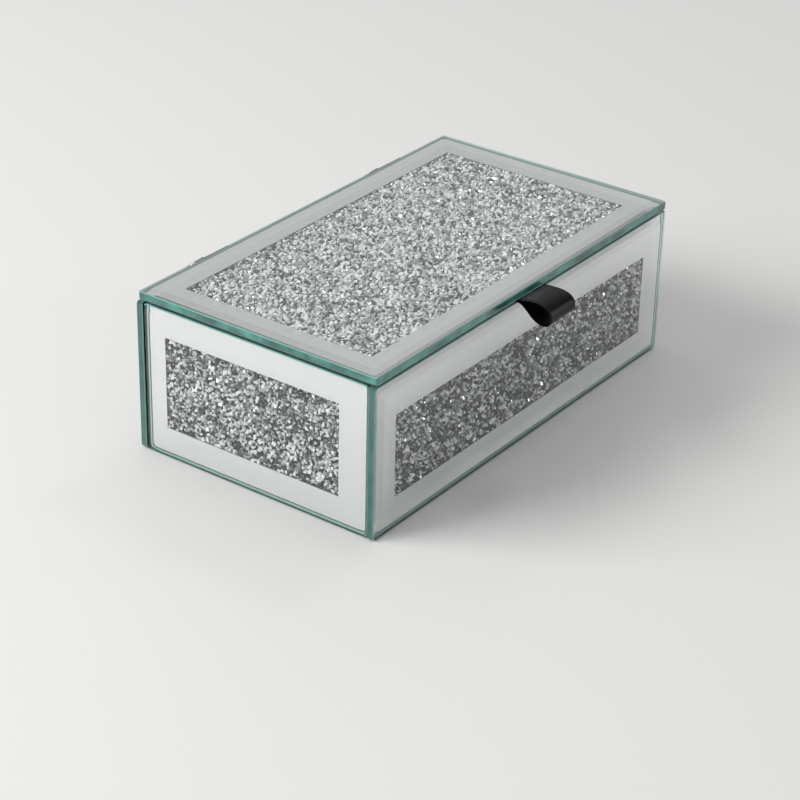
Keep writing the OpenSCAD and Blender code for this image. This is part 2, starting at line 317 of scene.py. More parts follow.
def refined_copy(node, rounding, material, segments=2):
    """A copy of a CAD node with its edges rounded, as a plain mesh."""
    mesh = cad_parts[node].data.copy()
    shape = bmesh.new()
    shape.from_mesh(mesh)
    bmesh.ops.remove_doubles(shape, verts=shape.verts, dist=0.002 * MM)
    bmesh.ops.dissolve_limit(shape, angle_limit=math.radians(1), verts=shape.verts, edges=shape.edges)
    bmesh.ops.recalc_face_normals(shape, faces=shape.faces)
    shape.to_mesh(mesh)
    shape.free()
    finished = applied_mesh(
        node, mesh, "BEVEL", width=rounding, segments=segments, limit_method="ANGLE",
        angle_limit=math.radians(40), use_clamp_overlap=True)
    finished.materials.clear()
    finished.materials.append(material)
    smooth(finished, 35)
    return finished


# ---------------------------------------------------------------- material helpers

class NodeSheet:
    """A node tree being drawn. A value may be a number, a colour or another node's output."""

    def __init__(self, tree):
        self.tree = tree

    def feed(self, node, values):
        """Gives a node its inputs: an output is linked, and anything else is set."""
        for key, value in values.items():
            if isinstance(value, bpy.types.NodeSocket):
                self.tree.links.new(value, node.inputs[key])
            else:
                node.inputs[key].default_value = value

    def add(self, kind, values=None, **settings):
        """A new node with its own settings and its inputs' values."""
        node = self.tree.nodes.new(kind)
        for key, value in settings.items():
            setattr(node, key, value)
        self.feed(node, values or {})
        return node

    def math(self, operation, *terms):
        return self.add("ShaderNodeMath", dict(enumerate(terms)), operation=operation).outputs[0]

    def vector_math(self, operation, *terms):
        return self.add("ShaderNodeVectorMath", dict(enumerate(terms)), operation=operation).outputs[0]

    def noise(self, place=None, **values):
        """Noise at a place, which is the object's own space unless another is given."""
        if place is None:
            place = self.add("ShaderNodeTexCoord").outputs["Object"]
        return self.add("ShaderNodeTexNoise", {"Vector": place, **values}).outputs["Fac"]

    def remap(self, value, start=(0.0, 1.0), end=(0.0, 1.0), **settings):
        """A value taken from one range to another."""
        values = {
            "Value": value, "From Min": start[0], "From Max": start[1], "To Min": end[0], "To Max": end[1]}
        return self.add("ShaderNodeMapRange", values, **settings).outputs["Result"]

    def blend(self, factor, first, second):
        """Two colours mixed by a factor."""
        values = {"Factor": factor, COLOUR_A: rgba(first), COLOUR_B: rgba(second)}
        return self.add("ShaderNodeMix", values, data_type="RGBA").outputs[COLOUR_RESULT]

    def bump(self, height, strength, distance):
        values = {"Height": height, "Strength": strength, "Distance": distance}
        return self.add("ShaderNodeBump", values).outputs["Normal"]

    def effect(self, name, draw, values):
        """A shared group with the values as its inputs, drawn when it is first needed; gives its outputs."""
        tree = bpy.data.node_groups.get(name)
        if tree is None:
            tree = bpy.data.node_groups.new(name, "ShaderNodeTree")
            for label in values:
                tree.interface.new_socket(name=label, in_out="INPUT", socket_type="NodeSocketFloat")
            inside = NodeSheet(tree)
            results = draw(inside, inside.add("NodeGroupInput").outputs)
            for label in results:
                tree.interface.new_socket(name=label, in_out="OUTPUT", socket_type="NodeSocketFloat")
            inside.add("NodeGroupOutput", results)
        return self.add("ShaderNodeGroup", values, node_tree=tree).outputs


def rgba(colour):
    return (*colour, 1.0)


def surface_material(name, **values):
    """A material with one Principled BSDF; values name its sockets with underscores for spaces.

    Gives the material, its sheet and the shader. The last two are None if the material was already there.
    """
    material = bpy.data.materials.get(name)
    if material:
        return material, None, None
    material = bpy.data.materials.new(name)
    material.use_nodes = True
    sheet = NodeSheet(material.node_tree)
    shader = material.node_tree.nodes["Principled BSDF"]
    sheet.feed(shader, {key.replace("_", " "): value for key, value in values.items()})
    return material, sheet, shader


def fibres(sheet, given):
    """Draws short fibres at two sizes, for pile, felt and board: a mask and a height."""
    fine = sheet.noise(Scale=given["Scale"], Detail=3.0, Roughness=0.65)
    patch = sheet.noise(Scale=given["Patch Scale"], Detail=2.0, Roughness=0.5)
    return {"Mask": sheet.remap(sheet.math("MULTIPLY", fine, patch), (0.14, 0.38)), "Height": fine}


def handling(sheet, given):
    """Draws faint wipe marks: a roughness that drifts between two values."""
    marks = sheet.noise(Scale=given["Scale"], Detail=4.0, Roughness=0.6, Distortion=0.8)
    return {"Roughness": sheet.remap(marks, (0.45, 0.75), (given["Clean"], given["Marked"]))}


def see_through(sheet, shader, share, tint):
    """Lets a share of the rays pass straight through a material."""
    through = sheet.add("ShaderNodeBsdfTransparent", {"Color": rgba(tint)})
    mix = sheet.add(
        "ShaderNodeMixShader", {"Fac": share, 1: shader.outputs["BSDF"], 2: through.outputs["BSDF"]})
    sheet.feed(sheet.tree.nodes["Material Output"], {"Surface": mix.outputs["Shader"]})


# ---------------------------------------------------------------- materials

def clear_glass(settings):
    """Polished glass that bends light and lets the lamps reach what lies behind it."""
    material, sheet, shader = surface_material(
        "clear_glass", Base_Color=rgba(settings.clear_tint), Roughness=0.0, IOR=1.52, Transmission_Weight=1.0)
    if sheet:
        path = sheet.add("ShaderNodeLightPath").outputs
        either = sheet.math("MAXIMUM", path["Is Shadow Ray"], path["Is Diffuse Ray"])
        see_through(sheet, shader, either, settings.clear_tint)
    return material


def polished_edge_lit_and_shaded(settings, side):
    """The green that thick glass shows at its edge, in long streaks. The lid gets a lighter copy and the side
    panes a darker one, as painted light and shade.
    """
    kind = "lid" if side == "lid" else "side"
    # Painted shade: the side panes take the darker copy of the green.
    tint = settings.edge_tint if side == "lid" else settings.side_edge_painted_shade
    material, sheet, shader = surface_material(
        f"polished_edge_lit_and_shaded_{kind}", Roughness=0.12, Coat_Weight=0.6, Coat_Roughness=0.04)
    if sheet:
        streaks = sheet.remap(sheet.noise(Scale=95.0, Detail=2.5, Roughness=0.55), (0.38, 0.64))
        sheet.feed(shader, {"Base Color": sheet.blend(streaks, settings.edge_dark, tint)})
        # From within the glass the edge is mostly clear.
        within = sheet.add("ShaderNodeNewGeometry").outputs["Backfacing"]
        see_through(sheet, shader, sheet.math("MULTIPLY", within, EDGE_CLARITY), settings.edge_inside)
    return material


def ground_arris(settings):
    """The pale frosted line where a pane's sharp edge is ground off."""
    material, sheet, shader = surface_material("ground_arris", Coat_Weight=0.3)
    if sheet:
        grit = sheet.noise(Scale=420.0, Detail=3.0)
        sheet.feed(shader, {
            "Base Color": sheet.blend(grit, settings.edge_tint, settings.arris_tint),
            "Roughness": sheet.remap(grit, end=(0.2, 0.5)),
        })
    return material


def wiped_metal(name, colour, scale, clean, marked):
    """Bright metal with faint handling marks, its roughness between a clean and a marked value."""
    material, sheet, shader = surface_material(name, Base_Color=rgba(colour), Metallic=1.0)
    if sheet:
        marks = sheet.effect("Handling", handling, {"Scale": scale, "Clean": clean, "Marked": marked})
        sheet.feed(shader, {"Roughness": marks["Roughness"]})
    return material


def chip_materials(settings):
    """The tints of crushed glass. Each face is flat, so the shape itself makes the sparkle."""
    tints = {
        "chip_bright": (settings.bright, 0.2, 0.1),
        "chip_silver": (settings.silver, 0.8, 0.1),
        "chip_clear": (settings.clear, 0.0, 0.1),
        "chip_blue": (settings.blue, 0.85, 0.12),
        "chip_grey": (settings.grey, 0.7, 0.2),
        "chip_dark": (settings.dark, 0.3, 0.16),
    }
    chips = []
    for name, (colour, metallic, roughness) in tints.items():
        material, _, _ = surface_material(
            name, Base_Color=rgba(colour), Metallic=metallic, Roughness=roughness, Coat_Weight=0.5,
            Coat_Roughness=0.03)
        chips.append(material)
    return chips


def pocket_floor_painted_shade():
    """The pocket's floor, seen between the chips, made dark as painted shade in the gaps."""
    return surface_material("pocket_floor_painted_shade", Base_Color=(0.06, 0.065, 0.07, 1), Roughness=0.5)[0]


def velvet(settings):
    """Short velvet pile with brushed patches."""
    material, sheet, shader = surface_material(
        "velvet", Roughness=0.9, Sheen_Weight=0.55, Sheen_Roughness=0.45, Sheen_Tint=(0.35, 0.35, 0.4, 1),
        Specular_IOR_Level=0.15)
    if sheet:
        pile = sheet.effect("Fibres", fibres, {"Scale": 1700.0, "Patch Scale": 34.0})
        sheet.feed(shader, {
            "Base Color": sheet.blend(pile["Mask"], settings.pile, settings.pile_light),
            "Normal": sheet.bump(pile["Height"], 0.6, 0.25 * MM),
        })
    return material


def felt(settings):
    """Pressed felt with loose fibres."""
    material, sheet, shader = surface_material(
        "felt", Roughness=1.0, Specular_IOR_Level=0.1, Sheen_Weight=0.2)
    if sheet:
        wool = sheet.effect("Fibres", fibres, {"Scale": 800.0, "Patch Scale": 60.0})
        lighter = [level * 2.2 for level in settings.felt]
        sheet.feed(shader, {
            "Base Color": sheet.blend(wool["Mask"], settings.felt, lighter),
            "Normal": sheet.bump(wool["Height"], 0.8, 0.3 * MM),
        })
    return material


def lacquered_board(settings):
    """Fibreboard under silver lacquer that is thin in places."""
    material, sheet, shader = surface_material("lacquered_board", Coat_Weight=0.2, Coat_Roughness=0.3)
    if sheet:
        board = sheet.effect("Fibres", fibres, {"Scale": 650.0, "Patch Scale": 22.0})
        thin = sheet.remap(board["Mask"], (0.9, 1.0))
        sheet.feed(shader, {
            "Base Color": sheet.blend(thin, settings.lacquer, settings.fibre),
            "Metallic": sheet.remap(thin, end=(0.55, 0.0)),
            "Roughness": sheet.remap(board["Height"], end=(0.38, 0.6)),
            "Normal": sheet.bump(board["Height"], 0.25, 0.1 * MM),
        })
    return material


def satin(settings, length, width):
    """Black satin with fine cross threads and a tighter selvedge, laid out on the ribbon's own UV map."""
    material, sheet, shader = surface_material(
        "satin", Specular_IOR_Level=0.12, Sheen_Weight=0.02, Sheen_Roughness=0.3,
        Sheen_Tint=(0.5, 0.5, 0.55, 1))
    if sheet:
        place = sheet.add("ShaderNodeUVMap", uv_map="ribbon").outputs["UV"]
        across = sheet.add("ShaderNodeSeparateXYZ", {0: place}).outputs
        turns = sheet.math("MULTIPLY", across["X"], length / settings.thread * 2 * math.pi)
        threads = sheet.math("SINE", turns)
        outward = sheet.math("ABSOLUTE", sheet.math("SUBTRACT", across["Y"], 0.5))
        border = 0.5 - settings.selvedge / width
        edge = sheet.remap(outward, (border - 0.01, border + 0.01))
        drift = sheet.noise(place, Scale=14.0, Detail=2.0)
        lighter = [level * 2.0 for level in settings.tint]
        height = sheet.math("MULTIPLY_ADD", threads, 0.6, edge)
        sheet.feed(shader, {
            "Base Color": sheet.blend(drift, settings.tint, lighter),
            "Roughness": sheet.remap(edge, end=(0.24, 0.5)),
            "Normal": sheet.bump(height, 0.35, 0.03 * MM),
        })
    return material


def pale_floor(settings):
    """Plain pale honed floor."""
    return surface_material(
        "pale_floor", Base_Color=rgba(settings.floor), Roughness=0.4, Specular_IOR_Level=0.22)[0]


# ---------------------------------------------------------------- glass and silvering

def window_of(side):
    """Middle and half sizes of a side's clear window, in the pane's own u and v."""
    pane_matrix, _, _, _ = side_frame(side, f"{side}_glass")
    bed_matrix, half_u, half_v, _ = side_frame(side, f"{side}_crystals")
    middle = pane_matrix.inverted() @ bed_matrix.translation
    return middle.x, middle.y, half_u - BED_OVERRUN, half_v - BED_OVERRUN


def make_pane(side, settings):
    """One bevelled pane: clear faces, a green edge and a pale ground chamfer."""
    node = f"{side}_glass"
    matrix, half_u, half_v, thickness = side_frame(side, node)
    arris, radius = settings.arris, settings.corner_radius
    slope = settings.bevel_depth / settings.bevel_width
    shoulder = thickness - settings.bevel_depth
    inner_radius = 0.05 * MM
    inner_u, inner_v = half_u - settings.bevel_width, half_v - settings.bevel_width
    rings = [
        rounded_ring(half_u - arris, half_v - arris, radius, SILVER_GAP),
        rounded_ring(half_u, half_v, radius, SILVER_GAP + arris),
        rounded_ring(half_u, half_v, radius, shoulder - arris),
        rounded_ring(half_u - arris, half_v - arris, radius, shoulder + arris * slope),
        rounded_ring(inner_u, inner_v, inner_radius, thickness),
    ]
    points, faces, slots = loft(rings, [0, 2, 1, 2, 0, 0])
    materials = (clear_glass(settings), polished_edge_lit_and_shaded(settings, side), ground_arris(settings))
    mesh = mesh_from(node, [matrix @ p for p in points], faces, materials, slots)
    add_piece(f"{side}_pane", mesh, SIDES[side][0], node)


def make_silvering(side, settings):
    """The mirror coating behind a pane's border: a thin frame round the clear window."""
    matrix, half_u, half_v, _ = side_frame(side, f"{side}_glass")
    mid_u, mid_v, window_u, window_v = window_of(side)
    inset = 0.02 * MM
    outer = [(su * (half_u - inset), sv * (half_v - inset)) for su, sv in CORNERS]
    inner = [(mid_u + su * window_u, mid_v + sv * window_v) for su, sv in CORNERS]
    points, faces = [], []
    for height in (0.0, SILVER_THICKNESS):
        points += [matrix @ Vector((u, v, height)) for u, v in outer + inner]
    for i in range(4):
        j = (i + 1) % 4
        faces += [
            [j, i, 4 + i, 4 + j],
            [8 + i, 8 + j, 12 + j, 12 + i],
            [i, j, 8 + j, 8 + i],
            [4 + j, 4 + i, 12 + i, 12 + j],
        ]
    silver = wiped_metal("silver_coating", settings.silver_tint, 26.0, 0.012, 0.035)
    mesh = mesh_from(f"{side}_silvering", points, faces, (silver,))
    add_piece(f"{side}_silvering", mesh, SIDES[side][0], None)


# ---------------------------------------------------------------- crushed glass

def shard_forms(sheet):
    """Instances of a few angular chips, each the hull of random points on a flattened ball."""
    join = sheet.add("GeometryNodeJoinGeometry")
    for form in range(SHARD_FORMS):
        values = {0: (-1, -1, -1), 1: (1, 1, 1), "Seed": 31 + form}
        spread = sheet.add("FunctionNodeRandomValue", values, data_type="FLOAT_VECTOR")
        ball = sheet.vector_math("NORMALIZE", spread.outputs[0])
        reach = (0.5, 0.36 + 0.05 * (form % 3), 0.25 + 0.04 * (form % 4))
        shaped = sheet.vector_math("MULTIPLY", ball, reach)
        cloud = sheet.add("GeometryNodePoints", {"Count": 9 + form % 3, "Position": shaped})
        hull = sheet.add("GeometryNodeConvexHull", {0: cloud.outputs[0]})
        single = sheet.add("GeometryNodeGeometryToInstance", {0: hull.outputs[0]})
        sheet.feed(join, {0: single.outputs[0]})
    return join.outputs[0]


def lowered(sheet, geometry, height):
    """Geometry moved along its own Z."""
    offset = sheet.add("ShaderNodeCombineXYZ", {"Z": height}).outputs[0]
    return sheet.add("GeometryNodeSetPosition", {"Geometry": geometry, "Offset": offset}).outputs[0]


def shaded(sheet, geometry, shade, domain):
    """Geometry that carries the number of its shade."""
    values = {"Geometry": geometry, "Name": "shade", "Value": shade}
    return sheet.add("GeometryNodeStoreNamedAttribute", values, data_type="INT", domain=domain).outputs[0]


def flat_grid(sheet, length, width):
    """One flat rectangle."""
    values = {"Vertices X": 2, "Vertices Y": 2, "Size X": length, "Size Y": width}
    return sheet.add("GeometryNodeMeshGrid", values).outputs["Mesh"]


def shard_layer(sheet, given, forms, plate, layer):
    """One layer of chips on random points of the plate, deeper and sparser with each layer."""
    depth_share, spacing_share = CHIP_LAYERS[layer]

    def random(kind, low, high, offset):
        first, output = {"FLOAT_VECTOR": (0, 0), "FLOAT": (2, 1), "INT": (4, 2)}[kind]
        values = {first: low, first + 1: high, "Seed": 100 * layer + offset}
        return sheet.add("FunctionNodeRandomValue", values, data_type=kind).outputs[output]

    scatter = {
        "Mesh": plate,
        "Distance Min": sheet.math("MULTIPLY", given["Spacing"], spacing_share),
        "Density Max": CHIP_DENSITY,
        "Seed": sheet.math("ADD", given["Seed"], layer * 17.0),
    }
    points = sheet.add("GeometryNodeDistributePointsOnFaces", scatter, distribute_method="POISSON")
    depth = sheet.math("MULTIPLY", given["Depth"], -depth_share)
    chips = sheet.add("GeometryNodeInstanceOnPoints", {
        "Points": lowered(sheet, points.outputs["Points"], depth),
        "Instance": forms,
        "Pick Instance": True,
        "Instance Index": random("INT", 0, SHARD_FORMS - 1, 1),
        "Rotation": random(
            "FLOAT_VECTOR", (-CHIP_TILT, -CHIP_TILT, 0.0), (CHIP_TILT, CHIP_TILT, CHIP_TURN), 2),
        "Scale": sheet.math("MULTIPLY", random("FLOAT", SMALLEST_CHIP, 1.0, 3), given["Chip Size"]),
    })
    # The bias toward bright or dark shades. Each face sets its own, to paint its light and shade.
    bias = sheet.math("POWER", random("FLOAT", 0.0, 0.999, 4), given["Brightness"])
    step = sheet.math("MULTIPLY", bias, float(CHIP_SHADES))
    shade = sheet.add("FunctionNodeFloatToInt", {0: step}, rounding_mode="FLOOR")
    return shaded(sheet, chips.outputs[0], shade.outputs[0], "INSTANCE")


def crushed_glass_tree():
    """Geometry Nodes: layers of chips in a pocket, pressed flat where they meet the pane, on a dark floor
    that paints the shade between them.
    """
    name = "Crushed glass bed"
    if name in bpy.data.node_groups:
        return bpy.data.node_groups[name]
    tree = bpy.data.node_groups.new(name, "GeometryNodeTree")
    tree.interface.new_socket(name="Geometry", in_out="OUTPUT", socket_type="NodeSocketGeometry")
    paints = [*SHADE_LABELS, "Floor"]
    for kind, labels in (
            ("Float", ("Length", "Width", "Depth", "Chip Size", "Spacing", "Brightness")),
            ("Int", ("Seed",)),
            ("Material", paints)):
        for label in labels:
            tree.interface.new_socket(name=label, in_out="INPUT", socket_type=f"NodeSocket{kind}")
    sheet = NodeSheet(tree)
    given = sheet.add("NodeGroupInput").outputs
    sizes = given["Length"], given["Width"]
    forms = shard_forms(sheet)
    chip = given["Chip Size"]
    plate = flat_grid(sheet, *(sheet.math("MULTIPLY_ADD", chip, -CHIP_MARGIN, size) for size in sizes))
    heap = sheet.add("GeometryNodeJoinGeometry")
    for layer in range(len(CHIP_LAYERS)):
        sheet.feed(heap, {0: shard_layer(sheet, given, forms, plate, layer)})
    # The dark floor under the chips is painted shade for the gaps between them.
    bottom = sheet.math("MULTIPLY", given["Depth"], -POCKET_BOTTOM)
    floor = lowered(sheet, flat_grid(sheet, *sizes), bottom)
    sheet.feed(heap, {0: shaded(sheet, floor, CHIP_SHADES, "POINT")})
    flow = sheet.add("GeometryNodeRealizeInstances", {0: heap.outputs[0]}).outputs[0]

    # Keep every chip inside its pocket.
    reach = [sheet.math("MULTIPLY", size, POCKET_REACH) for size in sizes]
    back = [sheet.math("MULTIPLY", share, -1.0) for share in reach]
    place = sheet.add("GeometryNodeInputPosition").outputs[0]
    for operation, bounds in (("MINIMUM", (*reach, -POCKET_TOP)), ("MAXIMUM", (*back, bottom))):
        corner = sheet.add("ShaderNodeCombineXYZ", dict(enumerate(bounds))).outputs[0]
        place = sheet.vector_math(operation, place, corner)
    flow = sheet.add("GeometryNodeSetPosition", {"Geometry": flow, "Position": place}).outputs[0]

    shade = sheet.add("GeometryNodeInputNamedAttribute", {"Name": "shade"}, data_type="INT")
    for number, label in enumerate(paints):
        values = {2: shade.outputs["Attribute"], 3: number}
        chosen = sheet.add("FunctionNodeCompare", values, data_type="INT", operation="EQUAL").outputs[0]
        values = {"Geometry": flow, "Selection": chosen, "Material": given[label]}
        flow = sheet.add("GeometryNodeSetMaterial", values).outputs[0]
    sheet.add("NodeGroupOutput", {0: flow})
    return tree


def make_bed(side, settings):
    """The crushed glass behind one window."""
    node = f"{side}_crystals"
    matrix, half_u, half_v, depth = side_frame(side, node)
    # Painted light and shade: the share of bright chips changes from face to face. It is highest on the lid
    # and lowest on the front and rear.
    brightness = {
        "lid": settings.brightness,
        "left": settings.end_painted_light_bias,
        "right": settings.end_painted_light_bias,
    }
    inputs = {
        "Length": 2 * half_u,
        "Width": 2 * half_v,
        "Depth": depth,
        "Chip Size": settings.chip_size,
        "Spacing": settings.spacing,
        "Seed": settings.seed + 5 * list(SIDES).index(side),
        "Brightness": brightness.get(side, settings.side_painted_light_bias),
        "Floor": pocket_floor_painted_shade(),
        **dict(zip(SHADE_LABELS, chip_materials(settings))),
    }
    mesh = applied_mesh(node, bpy.data.meshes.new(node), "NODES", inputs, node_group=crushed_glass_tree())
    mesh.transform(matrix @ Matrix.Translation((0, 0, depth)))
    for face in mesh.polygons:
        face.use_smooth = False
    add_piece(f"{side}_crushed_glass", mesh, SIDES[side][0], node)


# ---------------------------------------------------------------- lining

def edge_steps(half, radius, count):
    """Positions from -half to half, close together within radius of the ends."""
    near = [radius * (1 - math.cos(math.radians(90 * i / 6))) for i in range(7)]
    middle = [radius + (2 * half - 2 * radius) * i / count for i in range(1, count)]
    return [d - half for d in near + middle + [2 * half - d for d in reversed(near)]]


def padded_mesh(name, matrix, half_u, half_v, thickness, radius, crown, pull_in, material):
    """A closed crowned pad: flat back, rolled edges, and sides that draw in between the corners."""
    us, vs = edge_steps(half_u, radius, 30), edge_steps(half_v, radius, 16)

    def roll(distance):
        return math.sqrt(max(0.0, 1 - (1 - min(distance / radius, 1)) ** 2))

    points = []
    for front in (False, True):
        for v in vs:
            for u in us:
                a, b = u / half_u, v / half_v
                x = u - pull_in * a * abs(a) * (1 - b ** 4)
                y = v - pull_in * b * abs(b) * (1 - a ** 4)
                edge = roll(half_u - abs(u)) * roll(half_v - abs(v))
                swell = (1 - a ** 4) * (1 - b ** 4)
                rise = PAD_RIM + (1 - PAD_RIM) * edge
                height = rise * (thickness - crown) + crown * swell if front else 0.0
                points.append(matrix @ Vector((x, y, height)))
    count_u, count_v = len(us), len(vs)
    layer = count_u * count_v
    faces = []
    for j in range(count_v - 1):
        for i in range(count_u - 1):
            a = j * count_u + i
            quad = [a, a + 1, a + 1 + count_u, a + count_u]
            faces.append(quad[::-1])
            faces.append([layer + k for k in quad])
    rim = list(range(count_u))
    rim += [j * count_u + count_u - 1 for j in range(1, count_v)]
    rim += [(count_v - 1) * count_u + i for i in range(count_u - 2, -1, -1)]
    rim += [j * count_u for j in range(count_v - 2, 0, -1)]
    for i, a in enumerate(rim):
        b = rim[(i + 1) % len(rim)]
        faces.append([a, b, layer + b, layer + a])
    mesh = mesh_from(name, points, faces, (material,))
    smooth(mesh, 60)
    return mesh


# Each velvet piece's body and the way its soft face looks.
PADS = {
    "front_lining": ("box", (0, 1, 0)),
    "rear_lining": ("box", (0, -1, 0)),
    "left_lining": ("box", (1, 0, 0)),
    "right_lining": ("box", (-1, 0, 0)),
    "base_pad": ("box", (0, 0, 1)),
    "lid_lining": ("lid", (0, 0, -1)),
}


def make_pad(node, settings):
    """One velvet piece: a covered card, the base cushion or the lid's pad."""
    body, direction = PADS[node]
    w = Vector(direction)
    u = Vector((0, 1, 0)) if w.x else Vector((1, 0, 0))
    matrix, half_u, half_v, thickness = face_frame(node, u, w.cross(u))
    cushion = node == "base_pad"
    radius = 2.4 * MM if cushion else 1.1 * MM
    crown = settings.pad_crown if cushion else settings.card_crown
    pull_in = settings.pull_in if cushion else 0.0
    mesh = padded_mesh(node, matrix, half_u, half_v, thickness, radius, crown, pull_in, velvet(settings))
    pad = add_piece(f"velvet_{node}", mesh, body, node)


# ---------------------------------------------------------------- ribbon

# The loop's route at its near and far edges, in millimetres: (out from the front face, up from the exit).
LOOP_NEAR = [
    [(0, 0.225), (5.5, 2.0), (13.4, 2.6), (13.6, -2.9)],
    [(13.6, -2.9), (13.7, -6.7), (9.3, -6.8), (6.0, -4.2)],
    [(6.0, -4.2), (3.8, -2.4), (2.2, -0.225), (0, -0.225)],
]
LOOP_FAR = [
    [(0, 0.225), (5.0, 0.9), (12.6, 1.6), (12.9, -3.4)],
    [(12.9, -3.4), (13.0, -7.0), (9.0, -7.0), (5.9, -4.4)],
    [(5.9, -4.4), (3.8, -2.6), (2.2, -0.225), (0, -0.225)],
]
RIBBON_THICKNESS = 0.35 * MM
TAIL_IN = 9 * MM


def cubic(points, t):
    """The point at t on a cubic Bezier curve."""
    a, b, c, d = (Vector(p) for p in points)
    return a * (1 - t) ** 3 + b * 3 * t * (1 - t) ** 2 + c * 3 * t * t * (1 - t) + d * t ** 3


def loop_point(t, across):
    """The loop's centre line at t from 0 to 3, across from 0 at the near edge to 1 at the far one."""
    part = min(int(t), 2)
    near, far = cubic(LOOP_NEAR[part], t - part), cubic(LOOP_FAR[part], t - part)
    return near.lerp(far, across) * MM


def ribbon_route(across, steps=16):
    """Centre line with both tails, as (out, up)."""
    loop = [loop_point(i / steps, across) for i in range(3 * steps + 1)]
    tail = [TAIL_IN * share for share in (1.0, 0.66, 0.33)]
    start = [Vector((-d, loop[0].y)) for d in tail]
    end = [Vector((-d, loop[-1].y)) for d in reversed(tail)]
    return start + loop + end


def make_ribbon(settings):
    """The pull: one strip of satin folded into a loop, its tails under the lid's glass."""
    low, high = (Vector(c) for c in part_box("ribbon_pull"))
    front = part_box("front_glass")[0][1]
    exit_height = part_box("lid_glass")[0][2] - RIBBON_THICKNESS - 0.05 * MM
    width, columns = high.x - low.x, 20
    routes = [ribbon_route(i / columns) for i in range(columns + 1)]
    rows = len(routes[0])
    length = sum((routes[0][i + 1] - routes[0][i]).length for i in range(rows - 1))
    points, uvs = [], []
    for side in (1, -1):
        for column, route in enumerate(routes):
            across = column / columns
            run = 0.0
            for row, point in enumerate(route):
                along = (route[min(row + 1, rows - 1)] - route[max(row - 1, 0)]).normalized()
                outward = Vector((-along.y, along.x))
                edge = abs(2 * across - 1) ** 8
                offset = outward * side * RIBBON_THICKNESS / 2 * (1 - 0.3 * edge)
                place = point + offset
                points.append(Vector((low.x + width * across, front - place.x, exit_height + place.y)))
                run += (point - route[max(row - 1, 0)]).length
                uvs.append((run / length, across))
    layer = len(points) // 2
    faces = []
    for column in range(columns):
        for row in range(rows - 1):
            a = column * rows + row
            faces.append([a, a + rows, a + rows + 1, a + 1])
            faces.append([layer + a, layer + a + 1, layer + a + rows + 1, layer + a + rows])
    rim = []
    for row in range(rows - 1):
        rim += [(row, 1, False), (columns * rows + row, 1, True)]
    for column in range(columns):
        rim += [(column * rows, rows, True), (column * rows + rows - 1, rows, False)]
    for a, step, flip in rim:
        quad = [a, a + step, layer + a + step, layer + a]
        faces.append(quad[::-1] if flip else quad)
    mesh = mesh_from("ribbon_pull", points, faces, (satin(settings, length, width),))
    chart = mesh.uv_layers.new(name="ribbon")
    for loop in mesh.loops:
        chart.data[loop.index].uv = uvs[loop.vertex_index]
    shape = bmesh.new()
    shape.from_mesh(mesh)
    bmesh.ops.recalc_face_normals(shape, faces=shape.faces)
    shape.to_mesh(mesh)
    shape.free()
    smooth(mesh, 50)
    ribbon = add_piece("satin_ribbon", mesh, "lid", "ribbon_pull")


# ---------------------------------------------------------------- boards, felt and hinges

BOARDS = dict.fromkeys(("base_board", "front_wall", "rear_wall", "left_wall", "right_wall"), "box")
BOARDS["lid_board"] = "lid"
HINGES = {
    f"{hand}_hinge_{part}": body
    for part, body in (("box_leaf", "box"), ("pin", "box"), ("lid_leaf", "lid"))
    for hand in ("left", "right")
}


def make_board(node, settings):
    """One board of the carcass or the lid, with its edges softened."""
    mesh = refined_copy(node, settings.rounding, lacquered_board(settings))
    add_piece(f"lacquered_{node}", mesh, BOARDS[node], node)


def make_felt(settings):
    """The felt sheet under the base board."""
    mesh = refined_copy("base_felt", 0.3 * MM, felt(settings), 3)
    piece = add_piece("felt_sheet", mesh, "box", "base_felt")


def make_hinge_part(node, settings):
    """One plated hinge leaf or pin."""
    material = wiped_metal("nickel_plate", settings.nickel, 240.0, 0.12, 0.3)
    mesh = refined_copy(node, settings.rounding, material)
    add_piece(f"nickel_{node}", mesh, HINGES[node], node)


# ---------------------------------------------------------------- stage

def aim_matrix(back, roll):
    """Rotation whose +Z is back and whose +X is level, turned by roll."""
    right = Vector((0, 0, 1)).cross(back).normalized()
    up = back.cross(right)
    turned = right * math.cos(roll) + up * math.sin(roll)
    return Matrix((turned, back.cross(turned), back)).transposed()


def make_camera(settings):
    """The camera, at the settings' bearing and height."""
    level = math.cos(settings.elevation)
    back = Vector((
        math.sin(settings.azimuth) * level,
        -math.cos(settings.azimuth) * level,
        math.sin(settings.elevation),
    ))
    data = bpy.data.cameras.new("camera")
    data.sensor_width = 36
    data.lens = settings.lens
    data.clip_start, data.clip_end = 0.01, 50
    camera = new_object("camera", data)
    place = Vector(settings.aim) + back * settings.distance
    camera.matrix_world = Matrix.Translation(place) @ aim_matrix(back, settings.roll).to_4x4()
    bpy.context.scene.camera = camera


def make_soft_light(name, place, target, size, power, colour):
    """A rectangular soft light that faces its target."""
    data = bpy.data.lights.new(name, "AREA")
    data.shape = "RECTANGLE"
    data.size, data.size_y = size
    data.energy = power
    data.color = colour
    light = new_object(name, data)
    back = (Vector(place) - Vector(target)).normalized()
    light.matrix_world = Matrix.Translation(place) @ aim_matrix(back, 0).to_4x4()
    return light


